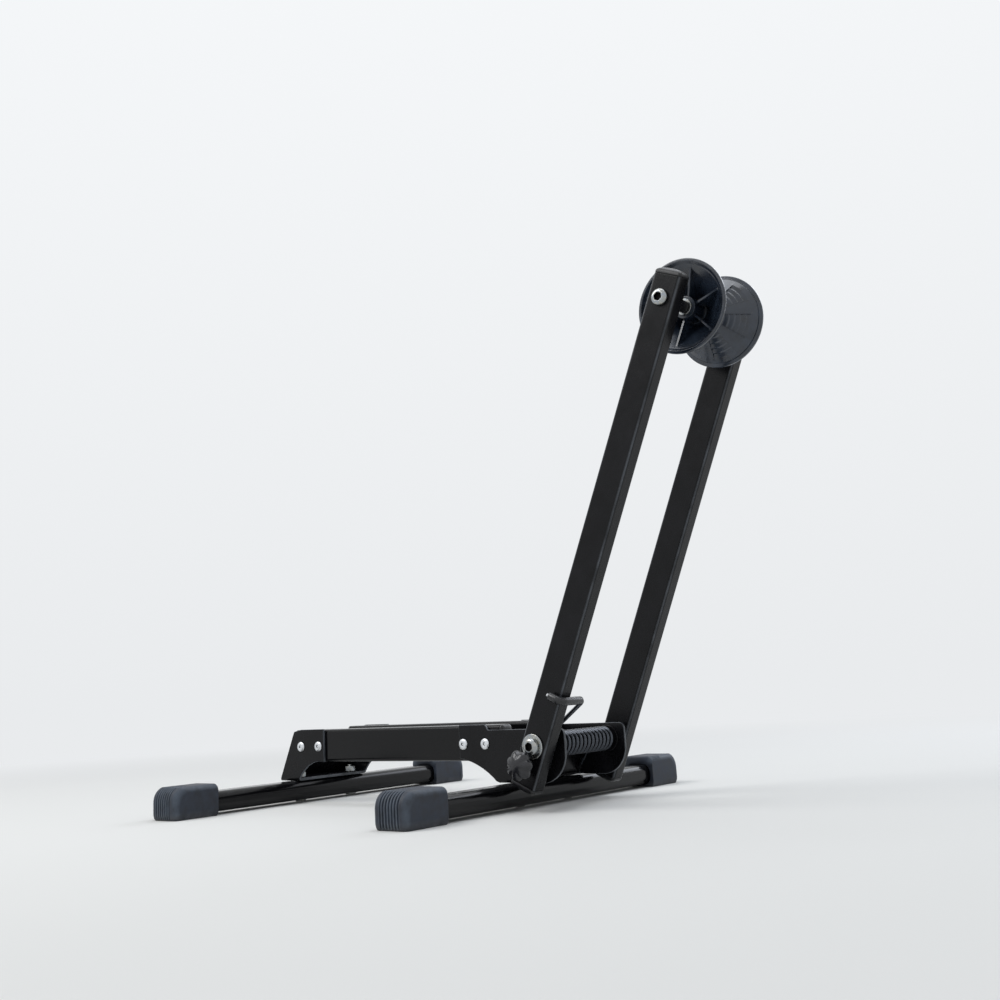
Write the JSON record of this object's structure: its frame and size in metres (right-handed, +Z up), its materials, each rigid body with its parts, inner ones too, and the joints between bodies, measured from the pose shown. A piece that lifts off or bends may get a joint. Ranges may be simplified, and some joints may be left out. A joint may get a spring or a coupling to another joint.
{
  "type": "bike parking stand",
  "caption": "Floor stand for one bicycle: tyre rails and brackets on two footed bars, with sprung swinging arms that press V rollers on the tyre.",
  "frame": {"origin": "on the floor, under the middle of the outer box with the arms as pictured", "axes": "+X from the wheel's entry towards the arms, +Y to the far side, +Z up from the floor"},
  "size_m": [0.5235, 0.3966, 0.4351],
  "materials": {
    "gloss_black_paint": "gloss",
    "satin_black_paint": "satin",
    "slate_rubber": "matte",
    "black_plastic": "matte",
    "roller_plastic": "semi-gloss moulded",
    "knob_plastic": "gloss",
    "spring_steel": "dark oiled",
    "bright_zinc": "bright zinc plate"
  },
  "bodies": {
    "base": {"front_bar": "gloss_black_paint", "rear_bar": "gloss_black_paint", "foot_front_near": "slate_rubber", "foot_front_far": "slate_rubber", "foot_rear_near": "slate_rubber", "foot_rear_far": "slate_rubber", "rail_near": "gloss_black_paint", "rail_far": "gloss_black_paint", "rail_plug_front_near": "black_plastic", "rail_plug_front_far": "black_plastic", "rail_plug_rear_near": "black_plastic", "rail_plug_rear_far": "black_plastic", "front_bracket": "satin_black_paint", "rear_bracket": "satin_black_paint", "rivet_front_near_1": "bright_zinc", "rivet_front_near_2": "bright_zinc", "rivet_front_far_1": "bright_zinc", "rivet_front_far_2": "bright_zinc", "rivet_rear_near_1": "bright_zinc", "rivet_rear_near_2": "bright_zinc", "rivet_rear_far_1": "bright_zinc", "rivet_rear_far_2": "bright_zinc", "bar_bolt_front_near": "bright_zinc", "bar_bolt_front_far": "bright_zinc", "bar_bolt_rear_near": "bright_zinc", "bar_bolt_rear_far": "bright_zinc", "bar_nut_front_near": "bright_zinc", "bar_nut_front_far": "bright_zinc", "bar_nut_rear_near": "bright_zinc", "bar_nut_rear_far": "bright_zinc", "pivot_sleeve": "satin_black_paint", "sleeve_washer_near": "satin_black_paint", "sleeve_washer_far": "satin_black_paint"},
    "arms": {"arm_near": "satin_black_paint", "arm_far": "satin_black_paint", "arm_plug_top_near": "black_plastic", "arm_plug_top_far": "black_plastic", "arm_plug_bottom_near": "black_plastic", "arm_plug_bottom_far": "black_plastic", "pivot_bolt": "bright_zinc", "pivot_nut": "bright_zinc", "pivot_washer_near": "bright_zinc", "pivot_washer_far": "bright_zinc", "pivot_spacer_near": "black_plastic", "pivot_spacer_far": "black_plastic", "knob_insert": "bright_zinc", "torsion_spring": "spring_steel", "spring_hook_sleeve": "black_plastic", "axle_bolt": "bright_zinc", "axle_nut": "bright_zinc", "axle_washer_near": "bright_zinc", "axle_washer_far": "bright_zinc", "axle_spacer_near": "black_plastic", "axle_spacer_far": "black_plastic"},
    "knob": {"clamp_knob": "knob_plastic", "knob_stud": "bright_zinc"},
    "roller_near": {"roller_near": "roller_plastic", "roller_bush_near": "bright_zinc"},
    "roller_far": {"roller_far": "roller_plastic", "roller_bush_far": "bright_zinc"}
  },
  "joints": [
    {"name": "arms_swing", "type": "hinge", "parent": "base", "child": "arms", "pos_m": [0.06811, 0, 0.0515], "axis": [0, 1, 0], "range_deg": [-106, 12], "stiffness_Nm_per_rad": 2.1, "springref_deg": -24.64, "deforming": ["torsion_spring"]},
    {"name": "knob_turn", "type": "hinge", "parent": "arms", "child": "knob", "pos_m": [0.06178, -0.0668, 0.03735], "axis": [0, 1, 0], "continuous": true},
    {"name": "roller_near_spin", "type": "hinge", "parent": "arms", "child": "roller_near", "pos_m": [0.22184, -0.015, 0.39518], "axis": [0, 1, 0], "continuous": true},
    {"name": "roller_far_spin", "type": "hinge", "parent": "arms", "child": "roller_far", "pos_m": [0.22184, 0.015, 0.39518], "axis": [0, 1, 0], "continuous": true}
  ]
}
